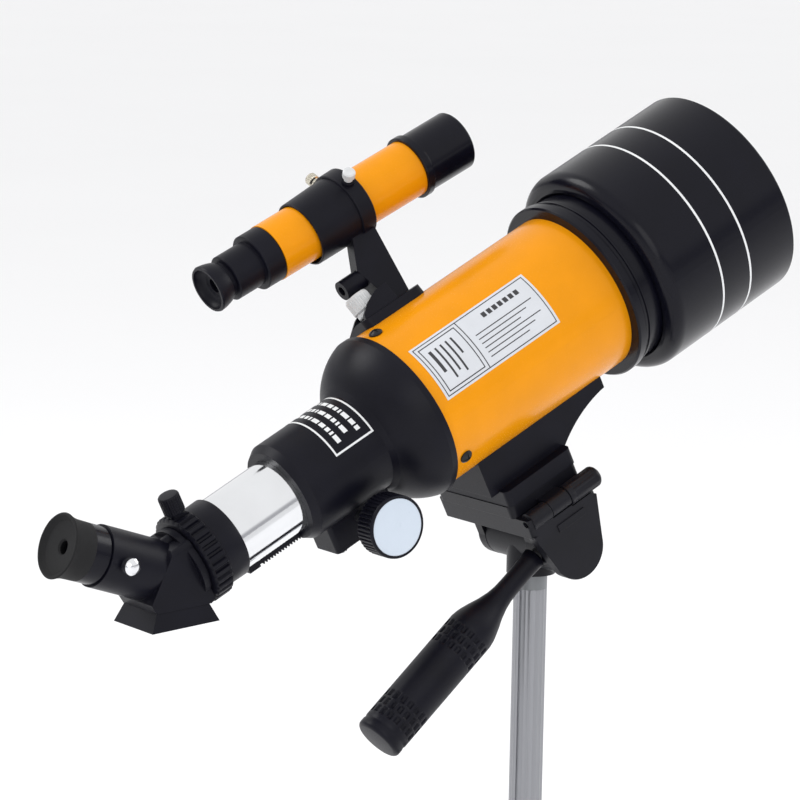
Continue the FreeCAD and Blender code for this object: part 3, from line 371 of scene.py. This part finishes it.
def dimple(radius, station, angle):
    """Radius of the grip with two bands of three rows of small oblong hollows between raised edges."""
    for middle in BAND_MIDDLES:
        for row in (-1, 0, 1):
            along = abs(station - middle - row * BAND_STEP) / 1.75
            if along >= 1:
                continue
            phase = 0.5 if row else 0.0
            turn = (angle / (2 * math.pi) * DIMPLES_AROUND + phase) % 1.0 - 0.5
            across = abs(turn) / 0.30
            wall = max(along ** 3, across ** 3)
            if wall < 1:
                return radius - DIMPLE_DEPTH * min(1.0, (1 - wall) * 1.6)
    return radius


def make_grip():
    """Grip with a slim neck, two dimpled bands and a rounded end."""
    end = GRIP_END
    radius = GRIP_RADIUS
    profile = [(3.1, 13.6), (4.9, 13.25), (5.3, 13.7), (4.95, 17.5), (4.7, 24.0), (4.72, 30.0), (4.9, 36.0),
               (5.6, 40.5), (7.0, 45.5), (8.7, 50.0), (9.9, 53.6), (10.55, 56.0), (radius, 59.0)]
    station = 59.8
    while station < 118.4:
        profile.append((radius, station))
        station += 0.44
    profile += [(10.75, 119.2), (10.75, 119.9), (radius, 120.5)]
    for step in range(0, 9):
        angle = math.radians(90.0 * step / 8)
        profile.append((radius - 2.2 + 2.2 * math.cos(angle), end - 2.4 + 2.0 * math.sin(angle)))
    profile += [(6.0, end - 0.15), (0, end)]
    made = lathe(profile, 224, closed=False, shape=dimple)
    finish_piece("grip_moulding", made, HANDLE, "black_plastic", "handle", ["handle_grip"], sharp=60)


make_grip()


# ---------------------------------------------------------------- focuser collar, knobs

def ribs(count, depth, start, end, duty=0.55, edge=0.3):
    """Shape function: square ribs between two stations, fading over the edge distance."""
    def shape(radius, station, angle):
        if not start <= station <= end:
            return radius
        fade = min(1.0, (station - start) / edge + 0.001, (end - station) / edge + 0.001)
        turn = (angle / (2 * math.pi) * count) % 1.0
        t = abs(turn - 0.5) * 2
        low = 1.0 if t > duty + 0.16 else (0.0 if t < duty else (t - duty) / 0.16)
        return radius - depth * low * fade
    return shape


def make_collar():
    """Collar with square ribs round its band and a plain flange in front."""
    band = COLLAR_BAND_RADIUS
    rear = COLLAR_REAR
    front = COLLAR_BAND_FRONT
    flange = COLLAR_FRONT
    profile = [(COLLAR_BORE, rear + 0.4), (18.9, rear), (19.5, rear + 0.15), (band, rear + 1.0)]
    profile += [(band, rear + 1.0 + 0.4 * k) for k in range(1, 19)]
    profile += [(band, front - 0.5), (band - 0.5, front), (18.8, front + 0.1), (18.7, flange - 7.5),
                (18.8, flange - 0.7), (18.3, flange), (17.55, flange), (17.55, flange - 6.4),
                (COLLAR_BORE, flange - 6.4)]
    made = lathe(profile, 360, closed=True, shape=ribs(34, 1.15, rear + 0.9, front - 0.3, 0.5))
    finish_piece("collar_moulding", made, OPTIC, "black_plastic", "focus_slide", ["drawtube_collar"],
                 sharp=40)


def make_collar_screw():
    """Ribbed thumbscrew head on a short neck."""
    profile = [(3.2, -3.5), (3.2, -2.2), (4.55, -1.6)]
    profile += [(4.75, -1.2 + 0.5 * k) for k in range(15)]
    profile += [(4.6, 6.4), (4.2, 6.85), (2.6, 7.0), (0, 7.0)]
    made = lathe(profile, 192, closed=False, shape=ribs(26, 0.28, -1.3, 6.2, 0.45))
    finish_piece("collar_thumb_knob", made, COLLAR_SCREW, "black_plastic", "collar_thumbscrew",
                 ["collar_screw"])


make_collar()
make_collar_screw()


FOCUS_AXIS = Vector(joints["focus_turn"]["pos_m"])


def make_focus_knobs():
    """Two fluted knobs with a thin rim round the pale cap."""
    length = KNOB_OUTER - KNOB_INNER
    profile = [(2.5, 0.2), (8.2, 0.0), (8.5, 0.3), (9.3, 1.1), (9.5, 2.5), (12.4, 3.0), (13.3, 3.7)]
    profile += [(KNOB_RADIUS, 4.3 + 0.44 * k) for k in range(22)]
    profile += [(KNOB_RADIUS - 0.1, length - 0.5), (KNOB_RADIUS - 0.5, length - 0.05),
                (KNOB_RADIUS - 0.9, length),
                (KNOB_RADIUS - 1.25, length - 0.15), (KNOB_RADIUS - 1.3, length - 0.9), (2.5, length - 0.9)]
    for side, name in ((1, "right"), (-1, "left")):
        place = axes_matrix(FOCUS_AXIS + side * KNOB_INNER * MM * SIDE, side * SIDE, TUBE_DIRECTION)
        made = lathe(profile, 384, closed=False, shape=ribs(46, 0.55, 4.2, length - 1.2, 0.5))
        finish_piece("focus_knob_moulding_" + name, made, place, "black_plastic", "pinion",
                     ["focus_knob_" + name],
                     sharp=50)


def thumb_profile(radius, length, neck, tip):
    """Outline of a thumbscrew in mm, head outwards, with its shank down to tip."""
    profile = [(neck, -0.1), (neck, 1.4), (radius - 0.25, 1.8)]
    profile += [(radius, 2.1 + 0.3 * k) for k in range(int((length - 3.0) / 0.3))]
    profile += [(radius - 0.05, length - 0.7), (radius - 0.55, length - 0.1),
                (radius * 0.55, length - 0.02),
                (radius * 0.4, length - 0.25), (0, length - 0.3)]
    return profile if tip is None else [(1.45, tip), (1.45, -0.1)] + profile


def make_small_knobs():
    """The finder's two aiming screws and the nut on its foot."""
    for side, slot_name in (("left", "nickel"), ("right", "clear_knob")):
        joint = joints["aim_screw_%s_turn" % side]
        place = axes_matrix(Vector(joint["pos_m"]) - 2.3 * MM * Vector(joint["axis"]), joint["axis"], SIDE)
        made = lathe(thumb_profile(2.9, 5.5, 2.0, -4.6), 160, closed=False,
                     shape=ribs(20, 0.22, 2.0, 4.7, 0.45))
        finish_piece("aim_screw_head_" + side, made, place, slot_name, "aim_screw_" + side,
                     ["finder_aim_screw_" + side])
    joint = joints["finder_nut_turn"]
    place = axes_matrix(Vector(joint["pos_m"]) - 48 * MM * Vector(joint["axis"]), joint["axis"], SIDE)
    profile = [(2.2, 43.45), (4.5, 43.42), (4.95, 44.0), (5.0, 45.7), (5.5, 46.2)]
    profile += [(5.8, 46.5 + 0.4 * k) for k in range(16)]
    profile += [(5.6, 53.1), (5.2, 53.9), (2.6, 54.0), (2.2, 53.7), (0, 53.7)]
    made = lathe(profile, 220, closed=False, shape=ribs(26, 0.3, 46.4, 52.9, 0.5))
    finish_piece("finder_nut_moulding", made, place, "clear_knob", "finder_nut", ["finder_thumb_nut"])


def make_flip_knob():
    """Nine shallow flutes and a domed end."""
    joint = joints["flip_lock_turn"]
    place = axes_matrix(Vector(joint["pos_m"]) - 15 * MM * Vector(joint["axis"]), joint["axis"], SIDE)
    radius = FLIP_KNOB_RADIUS
    profile = [(1.7, 5.35), (radius - 0.4, 5.3), (radius, 5.7), (radius, 7.5)]
    profile += [(radius, 8.0 + 0.5 * k) for k in range(27)]
    for step in range(0, 9):
        angle = math.radians(90.0 * step / 8)
        profile.append((radius * math.cos(angle), 22.0 + 3.0 * math.sin(angle)))
    made = lathe(profile, 120, closed=False, shape=ribs(9, 0.3, 7.8, 21.2, 0.25))
    finish_piece("flip_knob_moulding", made, place, "head_grey", "flip_knob", ["flip_lock_knob"])


def make_column():
    """Fluted extrusion with a key groove, between the collar and the end cap."""
    low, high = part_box("center_column")
    centre = (low + high) / 2
    made = bmesh.new()
    segments = 288
    rings = []
    for z in (low.z, high.z):
        outer = []
        for index in range(segments):
            angle = 2 * math.pi * index / segments
            flute = (angle / (2 * math.pi) * COLUMN_FLUTES) % 1.0
            radius = COLUMN_RADIUS - COLUMN_FLUTE_DEPTH * max(0.0, math.sin(math.pi * flute)) ** 0.8
            off = abs((math.degrees(angle) - COLUMN_GROOVE + 180) % 360 - 180)
            if off < COLUMN_GROOVE_HALF_ANGLE:
                radius = COLUMN_GROOVE_RADIUS
            outer.append(made.verts.new((centre.x + radius * MM * math.cos(angle),
                                         centre.y + radius * MM * math.sin(angle), z)))
        rings.append(outer)
    for index in range(segments):
        after = (index + 1) % segments
        made.faces.new((rings[0][index], rings[0][after], rings[1][after], rings[1][index]))
    made.faces.new(rings[0])
    made.faces.new(rings[1])
    finish_piece("column_extrusion", made, Matrix.Identity(4), "aluminium", "column", ["center_column"],
                 sharp=38)


make_focus_knobs()
make_small_knobs()
make_flip_knob()
make_column()

# ---------------------------------------------------------------- camera, light, floor

# camera place and turn, from the tube's rear end: distances along the tube's right, direction and up
CAMERA_AXES = {"right": (0.5805, 0.7365, -0.3472), "down": (0.1414, -0.5111, -0.8479),
               "ahead": (-0.8019, 0.4431, -0.4008)}
TUBE_REAR_FROM_CAMERA = (-0.0017, 0.0066, 1.6375)
LENS_MM = 168.84


def tube_vector(parts):
    """World vector from its parts along the tube's right, direction and up."""
    return parts[0] * SIDE + parts[1] * TUBE_DIRECTION + parts[2] * SIDE.cross(TUBE_DIRECTION)


def make_camera():
    right, down, ahead = (tube_vector(CAMERA_AXES[key]) for key in ("right", "down", "ahead"))
    x, y, z = TUBE_REAR_FROM_CAMERA
    place = OPTIC.translation - (x * right + y * down + z * ahead)
    data = bpy.data.cameras.new("camera")
    data.sensor_width = 36.0
    data.lens = LENS_MM
    data.clip_start = 0.05
    data.clip_end = 200.0
    camera = bpy.data.objects.new("camera", data)
    back = -ahead.normalized()
    right = (right - right.dot(back) * back).normalized()
    up = back.cross(right)
    camera.matrix_world = Matrix(((right.x, up.x, back.x, place.x), (right.y, up.y, back.y, place.y),
                                  (right.z, up.z, back.z, place.z), (0, 0, 0, 1)))
    bpy.context.scene.collection.objects.link(camera)
    bpy.context.scene.camera = camera


def make_light(name, place, target, size, power, color=(1, 1, 1)):
    data = bpy.data.lights.new(name, "AREA")
    data.shape = "DISK"
    data.size = size
    data.energy = power
    data.color = color
    light = bpy.data.objects.new(name, data)
    light.location = place
    light.rotation_mode = "QUATERNION"
    light.rotation_quaternion = (Vector(target) - Vector(place)).to_track_quat("-Z", "Y")
    bpy.context.scene.collection.objects.link(light)


def make_floor():
    made = bmesh.new()
    size = 60.0
    corners = [(-size, -size), (size, -size), (size, size), (-size, size)]
    made.faces.new([made.verts.new((x, y, -0.0005)) for x, y in corners])
    mesh = bpy.data.meshes.new("floor")
    made.to_mesh(mesh)
    made.free()
    mesh.materials.append(material("pale_floor", (0.90, 0.90, 0.91), 0.6, 0.0, 40, 0.02, 0.05, 0.99,
                                   edge=0, large=2.0))
    floor = bpy.data.objects.new("floor", mesh)
    bpy.context.scene.collection.objects.link(floor)


HORIZON_SHADE = (0.45, 0.45, 0.47)


def make_world():
    """Pale studio with a dim band at the horizon, so that bright metal has something to mirror."""
    world = bpy.data.worlds.new("studio")
    world.use_nodes = True
    tree = world.node_tree
    background = tree.nodes["Background"]
    background.inputs["Strength"].default_value = 1.02
    place = node(tree, "ShaderNodeTexCoord", -900, 0)
    split = node(tree, "ShaderNodeSeparateXYZ", -700, 0)
    tree.links.new(place.outputs["Generated"], split.inputs[0])
    ramp = node(tree, "ShaderNodeValToRGB", -480, 0)
    stops = ramp.color_ramp.elements
    stops[0].position = 0.0
    stops[0].color = (*HORIZON_SHADE, 1)
    stops[1].position = 1.0
    stops[1].color = (1.0, 1.0, 1.0, 1)
    for position, value in ((0.10, HORIZON_SHADE), (0.20, (1.0, 1.0, 1.0))):
        stop = stops.new(position)
        stop.color = (*value, 1)
    tree.links.new(split.outputs["Z"], ramp.inputs["Fac"])
    tree.links.new(ramp.outputs["Color"], background.inputs["Color"])
    bpy.context.scene.world = world
    bpy.context.scene.view_settings.view_transform = "Standard"


make_camera()
middle = (0, 0, 0.3)
make_light("key", (-1.2, -1.4, 1.9), middle, 1.2, 20)
make_light("fill", (1.9, -1.0, 1.0), middle, 1.6, 9)
make_light("rim", (0.6, 1.9, 1.5), middle, 1.2, 12)
make_floor()
make_world()
